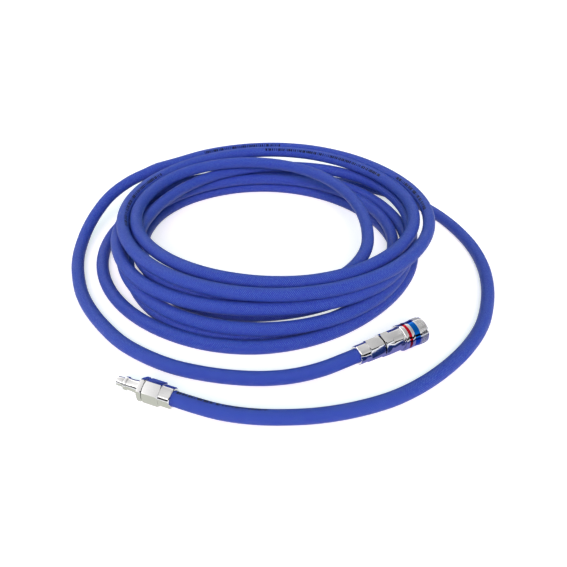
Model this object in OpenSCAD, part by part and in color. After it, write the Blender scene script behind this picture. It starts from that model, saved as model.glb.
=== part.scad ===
// Coiled compressed air hose with a quick coupling socket on one end and a plug on the other.
// Millimetres, +Z up. The hose lies on the plane z = 0, loops anticlockwise and piles in four layers.
// Each fitting is drawn along its own axis, z = 0 where the hose goes in, and then laid in its place.

/* [Hose] */
// Outside diameter of the hose
hose_d = 13.5; // [13:0.1:13.8]
// Bore of the hose
hose_bore = 9.5; // [9.2:0.1:10]

/* [Coil] */
// Radius of the first and widest loop, to the middle of the hose
coil_r = 185; // [183:0.5:186]
// Gap between neighbouring loops of a layer
loop_gap = 1.5; // [1.2:0.1:1.8]
// Gap between one layer and the next
layer_gap = 0.7; // [0.6:0.1:2]
// How far the loosest of the upper loops is drawn in
loose_loop = 48; // [47:0.5:52]

/* [Clamp nuts] */
// Width across the flats of both nuts
nut_af = 19; // [18.6:0.1:20]
// Length of a nut
nut_len = 26.2; // [25.6:0.1:27]
// Length of the narrow rear section of a nut
nut_rear_len = 10.5; // [9:0.5:12]
// Width across the narrow flats of the rear section
nut_rear_af = 17.6; // [17.2:0.1:18]
// Diameter of the thread that a nut is screwed on
thread_d = 16.5; // [16.4:0.1:16.8]

/* [Plug] */
// Diameter of the tip that the socket seals on
tip_d = 8.3; // [8.1:0.1:8.5]
// Length of the tip
tip_len = 6; // [5.6:0.1:6.4]
// Diameter of the ridge that the balls lock behind
ridge_d = 12; // [11.8:0.1:12.4]
// Diameter of the shank behind the ridge
shank_d = 10.4; // [10.2:0.1:10.6]
// Length of the hexagonal collar
collar_len = 4.7; // [4:0.1:5.5]
// Distance from the collar to the ridge
shank_len = 12.8; // [12.6:0.1:13.4]
// Bore of the plug
plug_bore = 6; // [5:0.1:6.2]

/* [Socket body] */
// Width across the flats of the rear body
body_af = 21; // [20.6:0.1:21.4]
// Length of the rear body's full hexagon
body_hex_len = 8.3; // [7:0.1:9]
// Length of the turned part of the rear body
guide_len = 11.5; // [11:0.1:12.5]
// Wall of the nose that carries the balls
nose_wall = 2.85; // [2.75:0.05:2.95]
// How far the turned guide of the sleeve stands out over the nose
guide_step = 2; // [1.9:0.05:2.1]
// Bore of the rear body, where the air comes in
socket_bore = 6.4; // [5.6:0.1:7]

/* [Sleeve] */
// Wall of the sleeve's skirt
skirt_wall = 1.4; // [1.3:0.1:1.8]
// Length of the sleeve
sleeve_len = 26.7; // [26.5:0.1:27]
// How far the sleeve is drawn back to let the plug go
sleeve_stroke = 5; // [4.6:0.1:5]
// Width of the red ring
red_w = 3.3; // [2.5:0.1:3.5]
// Width of the blue ring
blue_w = 6.1; // [5:0.1:6.5]
// Diameter of a locking ball
ball_d = 4; // [3.9:0.05:4.1]
// Number of locking balls
balls = 6; // [6]
// How far a ball moves outwards when the sleeve is drawn back
ball_lift = 0.7; // [0.65:0.01:0.75]
// Number of notches in the sleeve's front rim
notches = 4; // [2:1:6]

/* [Valve] */
// How far the plug's tip pushes the valve back
valve_stroke = 5; // [4:0.1:5]
// Diameter of the valve's disc
disc_d = 12; // [11.4:0.1:12.4]

/* [Place] */
// How far the hose's end at the plug lies beyond the first loop's radius
plug_out = 43.9; // [42.5:0.1:45]
// Bearing of the hose's end at the plug
plug_bearing = 248.2; // [247:0.1:249]
// Direction in which the plug points
plug_turn = 157.5; // [155:0.5:160]
// How far the hose's end at the socket lies within the first loop's radius
socket_in = 8.2; // [7:0.1:9.5]
// Bearing of the hose's end at the socket
socket_bearing = 294; // [293.5:0.1:294.5]
// Direction in which the socket points
socket_turn = 29.5; // [27:0.5:32]

/* [Hidden] */

round_fn = 96;        // facets of a round face in the preview
slide = 0.1;          // clearance of faces that slide on each other, on the radius
fit = 0.05;           // clearance of faces that are screwed or pressed together, on the radius
chamfer = 0.4;        // turned edge break
seat_gap = 0.1;       // gap between parts that rest end to end

// ---- Diameters of the socket, each built on the one inside it ----
bore_in_r = ridge_d / 2 + 0.15;         // bore that the plug's ridge enters
nose_d = 2 * (bore_in_r + nose_wall);
guide_d = nose_d + 2 * guide_step;
sleeve_d = guide_d + 2 * (slide + skirt_wall);

// ---- Where the hose runs ----
usual = [coil_r / 185, hose_d / 13.5];  // coil and hose against those that the points below are for
rest_z = 0.4 * hose_d;                  // middle of a hose that lies pressed on the floor
loop_pitch = hose_d + loop_gap;
layer_pitch = hose_d + layer_gap;
rings_per_loop = 24;
coil_sides = 6;
tail_sides = 8;
coil_start = 165;                       // angle of turn 0 round the coil
first_turn = -0.25;
coil_rings = 197;
reversals = [2.5, 4, 5.5];              // turns at which the spiral turns back
climbs = [2.3, 3.93, 5.5];              // turns at which the hose climbs a layer
climb = 0.2;                            // half of the part of a turn that a climb takes
loosest = [5.62, 0.35];                 // turn of the loosest loop, and turns on each side
layer_centres = [[-18, 35], [-16, 35], [-12, 36], [-6, 46]];

// Where a loop lies inside the even spiral: turn, turns on each side, and how far.
pushes = [[0.2, 0.2, 3], [0.42, 0.17, 11], [1.08, 0.17, 14], [1.39, 0.19, 12], [1.63, 0.25, 8],
    [2.08, 0.17, 14], [2.26, 0.26, 14], [3.25, 0.35, -9], [4.29, 0.15, 9], [4.66, 0.16, -12],
    [4.98, 0.2, 14], [5.3, 0.18, 11], [6.26, 0.25, 16], [6.45, 0.15, 5], [6.65, 0.15, 5],
    [7.28, 0.3, 11], [7.65, 0.15, 5]];

// Each tail's points, from its fitting to the coil: across, deep and above a lying hose.
plug_route = [[-46, -225.5, 3.6], [-20, -228.5, 1.6], [8, -228.5, 0.5], [36, -226, 0],
    [68, -219, 0], [100, -207, 0], [128, -190, 0], [154, -168.5, 0], [178, -143, 0],
    [200, -111, 0], [215, -76, 0], [225, -40, 0], [229.5, -4, 0], [228, 33, 0], [220, 70, 0],
    [206, 106, 0], [186, 139, 0], [159, 166, 0], [125, 188, 0], [86, 204.5, 0]];
socket_route = [[42, -177, 6.1], [18, -183.3, 3.8], [-8, -185, 1.8], [-36, -182.5, 0.4],
    [-65, -177, 0], [-94, -168, 0], [-121, -154, 0], [-146, -136, 0], [-168, -113, 0],
    [-188, -87, 0], [-204, -60, 0], [-216, -31, 0.5], [-225, -1, 1.4], [-229.5, 28, 3.2],
    [-228, 60, 10.8], [-221, 86, 19.6], [-209, 110, 28.8], [-190, 132, 36.5], [-168, 150.5, 41]];

function unit(v) = v / norm(v);
function ease(x) = let (c = min(max(x, 0), 1)) c * c * (3 - 2 * c);
function sum(list, i = 0) = i < len(list) ? list[i] + sum(list, i + 1) : 0;

function bump(x) = (1 + cos(180 * min(abs(x), 1))) / 2;

// Layer at turn t, from 0 to 3, and the loops that the spiral has gone in from the widest.
function layer_at(t) = sum([for (m = climbs) ease((t - m + climb) / (2 * climb))]);
function loops_in(t) =
    t < reversals[0] ? t
    : t < reversals[1] ? 2 * reversals[0] - t
    : t < reversals[2] ? 2 * (reversals[0] - reversals[1]) + t
    : 2 * (reversals[0] - reversals[1] + reversals[2]) - t;
function drawn_in(t) = loose_loop * bump((t - loosest[0]) / loosest[1])
    + usual[1] * sum([for (p = pushes) p[2] * bump((t - p[0]) / p[1])]);
function layer_centre(layer) = usual[0] * [lookup(layer, [for (i = [0:3]) [i, layer_centres[i].x]]),
    lookup(layer, [for (i = [0:3]) [i, layer_centres[i].y]])];
function coil_point(t) =
    let (layer = layer_at(t), middle = layer_centre(layer), angle = coil_start + 360 * t,
        r = coil_r - loop_pitch * loops_in(t) - drawn_in(t))
    [middle.x + r * cos(angle), middle.y + r * sin(angle), rest_z + layer_pitch * layer];

function direction(points, i) = unit(points[min(i + 1, len(points) - 1)] - points[max(i - 1, 0)]);

function heading(turn) = [cos(turn), sin(turn), 0];
plug_z = nut_af / 2 / cos(30);          // the plug's nut lies on one of its corners
socket_z = sleeve_d / 2;                // the socket's sleeve lies on the floor
function bearing(r, turn, z) = [r * cos(turn), r * sin(turn), z];
plug_at = bearing(coil_r + plug_out, plug_bearing, plug_z);
socket_at = bearing(coil_r - socket_in, socket_bearing, socket_z);
socket_roll = -19;                      // turn of the socket about its own axis
end_out = 3;                            // length of hose end that stands out of a nut

coil_turns = [for (i = [0:coil_rings - 1]) first_turn + i / rings_per_loop];
coil_middle = [for (t = coil_turns) coil_point(t)];
coil_in_dir = direction(coil_middle, 0);
coil_out_dir = direction(coil_middle, coil_rings - 1);
coil_path = concat([coil_middle[0] - hose_d * coil_in_dir], coil_middle,
    [coil_middle[coil_rings - 1] + hose_d * coil_out_dir]);

// A tail leaves its fitting and meets the coil straight for one hose diameter, square to both.
function tail_path(at, out, route, coil_end, coil_dir) =
    let (face = at + end_out * out, straight = face + hose_d * out, last = coil_end + hose_d * coil_dir,
        raised = [for (p = route) [usual[0] * p.x, usual[0] * p.y, rest_z + usual[1] * p.z]])
    concat([face, straight], raised, [last, coil_end]);
plug_tail = tail_path(plug_at, -heading(plug_turn), plug_route, coil_path[0], -coil_in_dir);
socket_tail = tail_path(socket_at, -heading(socket_turn), socket_route,
    coil_path[coil_rings + 1], coil_out_dir);

// One ring of a tube: a flat side faces down, and nothing reaches below the floor.
function ring(centre, along, across, r, sides) =
    let (up = cross(along, across))
    [for (k = [0:sides - 1]) let (a = 270 + (k + 0.5) * 360 / sides,
        p = centre + r * (cos(a) * across + sin(a) * up)) p];
function level_side(along) = unit(cross([0, 0, 1], along));
function above_floor(points) = [for (p = points) [p.x, p.y, max(p.z, 0)]];

// Triangles between two neighbouring rings, wound to face outwards.
function skin(first, rings, sides) = [for (i = [0:rings - 2]) for (k = [0:sides - 1])
    let (a = first + i * sides + k, b = first + i * sides + (k + 1) % sides)
    each [[a, a + sides, b + sides], [a, b + sides, b]]];
function inside_out(faces) = [for (f = faces) [f[2], f[1], f[0]]];
function washer(outer, inner, sides) = [for (k = [0:sides - 1]) let (j = (k + 1) % sides)
    each [[outer + k, outer + j, inner + j], [outer + k, inner + j, inner + k]]];
function fan(first, sides) = [for (k = [1:sides - 2]) [first, first + k, first + k + 1]];

// A hollow hose along a path; the first and last two rings stand square to its straight ends.
module hose_tube(path, sides) {
    n = len(path);
    along = [for (i = [0:n - 1])
        i < 2 ? unit(path[1] - path[0]) : i > n - 3 ? unit(path[n - 1] - path[n - 2]) : direction(path, i)];
    outside = [for (i = [0:n - 1]) each above_floor(ring(path[i], along[i], level_side(along[i]),
        hose_d / 2, sides))];
    inside = [for (i = [0:n - 1]) each ring(path[i], along[i], level_side(along[i]), hose_bore / 2, sides)];
    last = (n - 1) * sides;
    polyhedron(convexity = 12, points = concat(outside, inside), faces = concat(
        skin(0, n, sides), inside_out(skin(n * sides, n, sides)), washer(0, n * sides, sides),
        inside_out(washer(last, n * sides + last, sides))));
}

// A compression spring along z, with half a turn flat at each end.
module spring(z0, z1, mean_r, wire, turns) {
    rings_per_turn = 24;
    n = turns * rings_per_turn + 1;
    sides = 6;
    path = [for (i = [0:n - 1]) let (t = i / rings_per_turn, a = 360 * t,
        rise = min(max((t - 0.5) / (turns - 1), 0), 1))
        [mean_r * cos(a), mean_r * sin(a), z0 + wire / 2 + (z1 - z0 - wire) * rise]];
    points = [for (i = [0:n - 1]) each ring(path[i], direction(path, i),
        unit([path[i].x, path[i].y, 0]), wire / 2, sides)];
    polyhedron(convexity = 12, points = points, faces = concat(
        skin(0, n, sides), fan(0, sides), inside_out(fan((n - 1) * sides, sides))));
}

// ---- Gap check, on the points that the tubes are drawn on ----
function to_segment(p, a, b) = let (s = min(max((p - a) * (b - a) / ((b - a) * (b - a)), 0), 1))
    norm(p - a - s * (b - a));
whole_path = concat([for (i = [0:len(plug_tail) - 2]) plug_tail[i]], coil_path,
    [for (i = [len(socket_tail) - 2:-1:0]) socket_tail[i]]);
clear_rings = 4;                        // rings along the hose that count as the same stretch
near = 6 * hose_d;                      // rings farther apart than this aren't measured
least_gap = min([for (i = [0:len(whole_path) - 1]) for (j = [i + clear_rings:len(whole_path) - 2])
    if (norm(whole_path[i] - whole_path[j]) < near)
        to_segment(whole_path[i], whole_path[j], whole_path[j + 1])])
    - hose_d;
hose_length = sum([for (i = [1:len(whole_path) - 1]) norm(whole_path[i] - whole_path[i - 1])]);
echo(least_gap_of_hose_to_itself = least_gap);
echo(length_of_hose = hose_length);

// ---- Stations along the fittings ----
thread_r = thread_d / 2;
bore_r = hose_bore / 2;
hose_r = hose_d / 2;
spigot_z = 1.5;                         // free end of a spigot
thread_z = 14;                          // rear face of the thread, which the hose end meets
collar_gap = 0.6;                       // between a tightened nut and the hexagon ahead of it
hose_hole_r = hose_r + 0.2;
nut_lip = 4;                            // length of the hole that the hose enters a nut by
clamp_wall = 0.35;                      // thin end of the clamp ring
clamp_thick = 1.1;                      // thick end of the clamp ring
clamp_slit = 1.6;
thread_bevel = 0.6;                     // where a thread or a mouth starts
barb_play = 0.02;                       // between a barb's edge and the hose
barb_deep = 0.35;                       // height of a barb over the stem
barb_start = 0.3;                       // plain stem behind each barb
stem_len = 2;                           // plain stem ahead of the barbs
nut_rear_d = nut_rear_af * 1.057;       // the rear flats' corners are turned down to this

collar_z = nut_len + collar_gap;
shank_z = collar_z + collar_len;
ridge_z = shank_z + shank_len;
ridge_slope = 1;
ridge_flat = 1.9;
groove_len = 1.2;
groove_d = tip_d - 0.6;
tip_z = ridge_z + ridge_slope + ridge_flat + ridge_slope + groove_len;
plug_end = tip_z + tip_len;
root_len = 1.5;                         // flare where the shank meets the collar
root_d = shank_d + 4.4;
taper_d = ridge_d + 0.1;                // widest part of the shank that enters a socket
taper_len = 7.5;

hex_z = nut_len + 1;                    // rear face of the socket's hexagon
guide_z = hex_z + body_hex_len;
hex_over = 2;                           // how far past the flats the hexagon's corners are turned
hex_bevel = 1.2;                        // length of that bevel at the rear
hex_fall = 1;                           // length of that bevel at the front
split_z = guide_z + guide_len;          // where the rear body meets the front body
tail_d = 17.2;                          // threaded tail of the front body
tail_len = 8.5;
tail_z = split_z - tail_len;
chamber_r = 7;
spring_seat_z = tail_z - 1.5;
land_len = 3;                           // front body's share of the sleeve's guide
nose_z = split_z + land_len;
seat_z = nose_z + 0.2;                  // valve seat
throat_len = 7;
throat_r = tip_d / 2 + 0.2;
throat_end = seat_z + throat_len;
mate_tip = seat_z + 0.6;                // where the tip of a mated plug stops
mouth_r = bore_in_r + 0.2;
ball_r = ball_d / 2;
ball_z = mate_tip + plug_end - ridge_z + 1.2;
ball_reach = shank_d / 2 + 0.2;         // nearest that a locked ball comes to the axis
ball_axis = ball_reach + ball_r;        // radius of a locked ball's centre
ball_lip = 0.25;                        // rim that keeps a ball from falling into the bore
ball_hole_r = ball_r + fit;
mouth_z = ball_z + ball_r + 0.6;
nose_end = mate_tip + plug_end - shank_z - 0.4;
clip_w = 0.9;                           // retaining ring
clip_slit = 3.2;
clip_z = nose_end - clip_w - 0.45;
clip_groove_r = nose_d / 2 - 0.7;
clip_r = nose_d / 2 + 0.6;
seal_wire = 1.6;
seal_z = seat_z + 4.2;
seal_in_r = tip_d / 2 - 0.05;
body_seal_wire = 1.4;
body_seal_z = split_z - 0.8;

sleeve_z = nose_end + 0.6 - sleeve_len;
sleeve_front = sleeve_z + sleeve_len;
sleeve_r = sleeve_d / 2;
skirt_r = guide_d / 2 + slide;          // bore that slides on the bodies
sleeve_bore_r = nose_d / 2 + slide;     // bores that slide on the nose
sleeve_wire = 1.1;                      // wire of the sleeve's spring
spring_play = 0.15;                     // between that wire and the walls round it
spring_room_r = nose_d / 2 + sleeve_wire + 2 * spring_play;
skirt_end = nose_z + sleeve_stroke + 0.3;
sleeve_spring_len = 10;
spring_end = nose_z + sleeve_spring_len;  // inner shoulder that the spring pushes on
cam_slope = ball_lift / sleeve_stroke;
cam_r = ball_axis + ball_r + slide + 0.02;  // cam's radius over a locked ball
shoulder_len = 0.8;
cam_z = spring_end + shoulder_len;
lip_front = clip_z - seat_gap;
lip_z = lip_front - 2.4;
red_z = skirt_end - red_w;
red_floor_r = sleeve_r - 0.6;
ring_low = 0.2;                         // how far the colour rings lie below the sleeve
ring_spacing = 3.1;                     // silver band between the red and the blue ring
blue_z = red_z + red_w + ring_spacing;
blue_floor_r = sleeve_r - 1;
notch_w = 3;
notch_deep = 1.8;
notch_turn = 74;
rim_in_r = clip_r + 0.2;

nose_tip_r = throat_r - 0.35;           // hollow nose of the valve
valve_front = mate_tip + valve_stroke;
valve_seal_w = 1.45;
valve_face = seat_z - seat_gap;
disc_front = valve_face - valve_seal_w;
disc_w = 2.8;
disc_rear = disc_front - disc_w;
fin_len = 2;
fin_w = 1.6;
fin_r = chamber_r - slide;
valve_bore_r = 2.7;
port_len = 2.6;                         // length of the cross slots that let the air into the nose
stub_r = 3.4;
valve_wire = 1;                         // wire of the valve's spring
valve_spring_r = stub_r + valve_wire;   // to the middle of its wire

// ---- Shapes that repeat ----
module turned(outline) rotate_extrude($fn = round_fn) polygon(outline);
module tube(z0, z1, outer_r, inner_r) turned([[inner_r, z0], [outer_r, z0], [outer_r, z1], [inner_r, z1]]);
module bore(z0, z1, r) translate([0, 0, z0]) cylinder(r = r, h = z1 - z0, $fn = round_fn);
module o_ring(z, inner_r, wire) translate([0, 0, z])
    rotate_extrude($fn = round_fn) translate([inner_r + wire / 2, 0]) circle(d = wire, $fn = 32);

// A hexagonal bar from z0 to z1 whose corners are turned down at both ends.
module hex_bar(af, z0, z1) {
    flat_r = af / 2;
    corner_r = flat_r / cos(30) + 0.1;
    bevel = (corner_r - flat_r) * tan(30);
    intersection() {
        translate([0, 0, z0]) cylinder(r = flat_r / cos(30), h = z1 - z0, $fn = 6);
        turned([[0, z0], [flat_r, z0], [corner_r, z0 + bevel], [corner_r, z1 - bevel],
            [flat_r, z1], [0, z1]]);
    }
}

// The stem that the hose is pushed on, three barbs long, and the thread ahead of it.
module spigot_and_thread(z1) {
    barb_r = bore_r - barb_play;
    stem_r = barb_r - barb_deep;
    barb = (thread_z - spigot_z - stem_len) / 3;
    turned(concat([[0, spigot_z], [stem_r - chamfer, spigot_z]],
        [for (i = [0:2]) let (z = spigot_z + i * barb) each [[stem_r, z + barb_start],
            [barb_r, z + 0.8 * barb], [barb_r, z + 0.95 * barb], [stem_r, z + barb]]],
        [[stem_r, thread_z], [thread_r - chamfer, thread_z], [thread_r, thread_z + chamfer],
            [thread_r, z1], [0, z1]]));
}

// A nut that draws the clamp ring tight on the hose.
module clamp_nut() {
    cone_in = hose_r + fit + clamp_wall + slide;
    cone_out = hose_r + fit + clamp_thick + slide;
    difference() {
        union() {
            intersection() {
                cylinder(r = nut_rear_af / 2 / cos(30), h = nut_rear_len, $fn = 6);
                turned([[0, 0], [nut_rear_d / 2 - chamfer * 2, 0], [nut_rear_d / 2, chamfer * 2],
                    [nut_rear_d / 2, nut_rear_len], [0, nut_rear_len]]);
            }
            hex_bar(nut_af, nut_rear_len, nut_len);
        }
        turned([[0, -1], [hose_hole_r, -1], [hose_hole_r, nut_lip], [cone_in, nut_lip],
            [cone_out, thread_z - seat_gap], [thread_r + fit, thread_z - seat_gap],
            [thread_r + fit, nut_len - thread_bevel], [thread_r + thread_bevel, nut_len],
            [thread_r + thread_bevel, nut_len + 1], [0, nut_len + 1]]);
    }
}

// The slit conical ring between the hose and the nut.
module clamp_ring() {
    r = hose_r + fit;
    difference() {
        turned([[r, nut_lip + seat_gap * 2], [r + clamp_wall, nut_lip + seat_gap * 2],
            [r + clamp_thick, thread_z - seat_gap * 2], [r, thread_z - seat_gap * 2]]);
        translate([0, -clamp_slit / 2, 0]) cube([hose_d, clamp_slit, thread_z]);
    }
}

// The end of the hose that is pushed on a spigot.
module hose_end() tube(-end_out, thread_z - seat_gap, hose_r, bore_r);

module lay(at, turn, roll) translate(at) rotate([0, 90, turn]) rotate([0, 0, roll]) children();
module on_plug() lay(plug_at, plug_turn, 0) children();
module on_socket() lay(socket_at, socket_turn, socket_roll) children();

// ---- Hose ----
module hose_coil() color("royalblue") hose_tube(coil_path, coil_sides);
module hose_tail_plug() color("royalblue") hose_tube(plug_tail, tail_sides);
module hose_tail_socket() color("royalblue") hose_tube(socket_tail, tail_sides);
module hose_end_plug() color("royalblue") on_plug() hose_end();
module hose_end_socket() color("royalblue") on_socket() hose_end();

// ---- Plug ----
module plug_body() color("silver") on_plug() difference() {
    union() {
        spigot_and_thread(collar_z);
        hex_bar(nut_af, collar_z, shank_z);
        turned([[0, shank_z - chamfer], [root_d / 2, shank_z - chamfer], [root_d / 2, shank_z],
            [taper_d / 2, shank_z + root_len], [shank_d / 2, shank_z + root_len + taper_len],
            [shank_d / 2, ridge_z], [ridge_d / 2, ridge_z + ridge_slope],
            [ridge_d / 2, ridge_z + ridge_slope + ridge_flat],
            [groove_d / 2, ridge_z + 2 * ridge_slope + ridge_flat], [groove_d / 2, tip_z],
            [tip_d / 2, tip_z], [tip_d / 2, plug_end - chamfer], [tip_d / 2 - chamfer, plug_end],
            [0, plug_end]]);
    }
    bore(0, plug_end + 1, plug_bore / 2);
}
module plug_nut() color("silver") on_plug() clamp_nut();
module plug_clamp_ring() color("goldenrod") on_plug() clamp_ring();

// ---- Socket body ----
module socket_rear_body() color("silver") on_socket() difference() {
    union() {
        spigot_and_thread(hex_z + 1);
        intersection() {
            translate([0, 0, hex_z]) cylinder(r = body_af / 2 / cos(30), h = split_z - hex_z, $fn = 6);
            turned([[0, hex_z], [body_af / 2, hex_z], [body_af / 2 + hex_over, hex_z + hex_bevel],
                [body_af / 2 + hex_over, guide_z - hex_fall], [guide_d / 2, guide_z + chamfer],
                [guide_d / 2, split_z - chamfer], [guide_d / 2 - chamfer, split_z], [0, split_z]]);
        }
    }
    bore(0, spring_seat_z + 1, socket_bore / 2);
    bore(spring_seat_z, split_z + 1, tail_d / 2 + fit);
    bore(body_seal_z - body_seal_wire / 2 - fit, split_z + 1, tail_d / 2 + 2 * fit + body_seal_wire);
}

module socket_front_body() color("silver") on_socket() difference() {
    turned([[0, tail_z], [tail_d / 2 - chamfer, tail_z], [tail_d / 2, tail_z + chamfer],
        [tail_d / 2, split_z], [guide_d / 2, split_z], [guide_d / 2, nose_z], [nose_d / 2, nose_z],
        [nose_d / 2, clip_z - fit], [clip_groove_r, clip_z - fit], [clip_groove_r, clip_z + clip_w + fit],
        [nose_d / 2 - chamfer / 2, clip_z + clip_w + fit], [nose_d / 2 - chamfer, nose_end],
        [0, nose_end]]);
    bore(tail_z - 1, seat_z, chamber_r);
    bore(seat_z - 1, throat_end + 1, throat_r);
    tube(seal_z - seal_wire / 2 - slide, seal_z + seal_wire / 2 + slide, seal_in_r + seal_wire + fit, 1);
    bore(throat_end, mouth_z, bore_in_r);
    bore(mouth_z, nose_end + 1, mouth_r);
    turned([[0, nose_end - thread_bevel], [mouth_r, nose_end - thread_bevel],
        [mouth_r + thread_bevel, nose_end], [mouth_r + thread_bevel, nose_end + 1], [0, nose_end + 1]]);
    for (i = [0:balls - 1]) rotate([0, 0, i * 360 / balls]) translate([0, 0, ball_z]) rotate([0, 90, 0]) {
        translate([0, 0, bore_in_r - 1]) cylinder(r = ball_r - 0.2, h = 2, $fn = round_fn);
        translate([0, 0, bore_in_r + ball_lip]) cylinder(r = ball_hole_r, h = nose_d, $fn = round_fn);
    }
}
module socket_nut() color("silver") on_socket() clamp_nut();
module socket_clamp_ring() color("goldenrod") on_socket() clamp_ring();
module body_seal() color("dimgray") on_socket() o_ring(body_seal_z, tail_d / 2 + fit, body_seal_wire);
module plug_seal() color("dimgray") on_socket() o_ring(seal_z, seal_in_r, seal_wire);

// ---- Valve ----
module valve_poppet() color("goldenrod") on_socket() difference() {
    union() {
        bore(disc_rear, disc_front, disc_d / 2);
        bore(disc_front, valve_front, nose_tip_r);
        bore(disc_rear - fin_len, disc_rear, stub_r);
        intersection() {
            tube(disc_rear - fin_len + 0.2, disc_front, fin_r, disc_d / 2 - 0.4);
            for (i = [0:1]) rotate([0, 0, i * 90]) translate([-chamber_r, -fin_w / 2, disc_rear - fin_len])
                cube([2 * chamber_r, fin_w, fin_len + disc_w + 1]);
        }
    }
    bore(valve_face + 0.3, valve_front + 1, valve_bore_r);
    for (i = [0:1]) rotate([0, 0, i * 90]) translate([-chamber_r, -valve_bore_r / 2, valve_face + 0.3])
        cube([2 * chamber_r, valve_bore_r, port_len]);
}
module valve_seal() color("dimgray") on_socket()
    tube(disc_front, valve_face, disc_d / 2, nose_tip_r + fit);
module valve_spring() color("gainsboro") on_socket()
    spring(spring_seat_z + fit, disc_rear - fit, valve_spring_r, valve_wire, 3.5);

// ---- Sleeve ----
module release_sleeve() color("silver") on_socket() difference() {
    turned([[skirt_r, sleeve_z], [sleeve_r - chamfer, sleeve_z], [sleeve_r, sleeve_z + chamfer],
        [sleeve_r, red_z], [red_floor_r, red_z], [red_floor_r, red_z + red_w], [sleeve_r, red_z + red_w],
        [sleeve_r, blue_z], [blue_floor_r, blue_z],
        [blue_floor_r, blue_z + blue_w], [sleeve_r, blue_z + blue_w],
        [sleeve_r, sleeve_front - 2 * chamfer], [sleeve_r - 2 * chamfer, sleeve_front],
        [rim_in_r, sleeve_front], [rim_in_r, lip_front], [sleeve_bore_r, lip_front], [sleeve_bore_r, lip_z],
        [cam_r + cam_slope * (lip_z - ball_z), lip_z], [cam_r + cam_slope * (cam_z - ball_z), cam_z],
        [sleeve_bore_r, cam_z], [sleeve_bore_r, spring_end], [spring_room_r, spring_end],
        [spring_room_r, skirt_end], [skirt_r, skirt_end]]);
    for (i = [0:notches - 1]) rotate([0, 0, notch_turn + i * 360 / notches])
        translate([rim_in_r - 1, -notch_w / 2, sleeve_front - notch_deep])
            cube([sleeve_r, notch_w, notch_deep + 1]);
}
module sleeve_spring() color("gainsboro") on_socket()
    spring(nose_z + fit, spring_end - fit, (nose_d / 2 + spring_room_r) / 2, sleeve_wire, 4);
module sleeve_retaining_ring() color("gainsboro") on_socket() difference() {
    tube(clip_z, clip_z + clip_w, clip_r, clip_groove_r + fit);
    translate([0, -clip_slit / 2, clip_z - clip_w]) cube([sleeve_r, clip_slit, 3 * clip_w]);
}
module red_ring() color("crimson") on_socket()
    tube(red_z + fit, red_z + red_w - fit, sleeve_r - ring_low, red_floor_r + fit / 2);
module blue_ring() color("mediumblue") on_socket()
    tube(blue_z + fit, blue_z + blue_w - fit, sleeve_r - ring_low, blue_floor_r + fit / 2);
module locking_ball(i) color("gainsboro") on_socket() rotate([0, 0, (i - 1) * 360 / balls])
    translate([ball_axis, 0, ball_z]) sphere(r = ball_r, $fn = 32);

hose_coil();
hose_tail_plug();
hose_tail_socket();
hose_end_plug();
hose_end_socket();
plug_body();
plug_nut();
plug_clamp_ring();
socket_rear_body();
socket_front_body();
socket_nut();
socket_clamp_ring();
body_seal();
plug_seal();
valve_poppet();
valve_seal();
valve_spring();
release_sleeve();
sleeve_spring();
sleeve_retaining_ring();
red_ring();
blue_ring();
locking_ball(1);  // locking_ball_1
locking_ball(2);  // locking_ball_2
locking_ball(3);  // locking_ball_3
locking_ball(4);  // locking_ball_4
locking_ball(5);  // locking_ball_5
locking_ball(6);  // locking_ball_6
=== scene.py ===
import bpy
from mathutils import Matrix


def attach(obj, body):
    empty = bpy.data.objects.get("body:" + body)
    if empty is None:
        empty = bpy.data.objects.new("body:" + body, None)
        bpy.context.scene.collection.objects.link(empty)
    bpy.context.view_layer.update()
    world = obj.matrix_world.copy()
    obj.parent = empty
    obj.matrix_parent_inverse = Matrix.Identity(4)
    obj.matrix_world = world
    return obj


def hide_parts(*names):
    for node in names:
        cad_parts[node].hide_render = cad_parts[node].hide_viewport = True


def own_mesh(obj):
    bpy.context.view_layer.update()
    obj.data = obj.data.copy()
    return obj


bl_info = {
    "name": "Coiled Air Hose",
    "version": (1, 0, 0),
    "blender": (4, 5, 0),
    "location": "View3D > Sidebar > Air Hose",
    "description": "Dresses a coiled compressed air hose with its plug and quick coupling socket",
    "category": "Add Mesh",
}

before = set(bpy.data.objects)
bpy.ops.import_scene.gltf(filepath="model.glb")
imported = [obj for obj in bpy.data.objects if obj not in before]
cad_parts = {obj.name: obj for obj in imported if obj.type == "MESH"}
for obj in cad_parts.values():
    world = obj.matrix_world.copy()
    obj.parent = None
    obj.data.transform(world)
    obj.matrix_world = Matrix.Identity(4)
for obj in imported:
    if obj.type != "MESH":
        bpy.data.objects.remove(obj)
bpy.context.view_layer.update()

import math

import bmesh
import bpy
from bpy.props import FloatProperty, FloatVectorProperty, IntProperty, PointerProperty
from mathutils import Matrix, Vector

MM = 0.001
UP = Vector((0, 0, 1))

# ---- Where the hose runs, in millimetres ----
COIL_START = 165                        # angle of turn 0 round the coil, in degrees
FIRST_TURN = -0.25
COIL_POINTS = 197
POINTS_PER_LOOP = 24
REVERSALS = (2.5, 4, 5.5)               # turns at which the spiral turns back
CLIMBS = (2.3, 3.93, 5.5)               # turns at which the hose climbs a layer
CLIMB = 0.2                             # half of the part of a turn that a climb takes
LOOSEST = (5.62, 0.35)                  # turn of the loosest loop, and turns on each side
REST = 0.4                              # height of a lying hose's middle, in hose diameters
LAYER_CENTRES = ((-18, 35), (-16, 35), (-12, 36), (-6, 46))     # middle of each layer's loops
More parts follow.
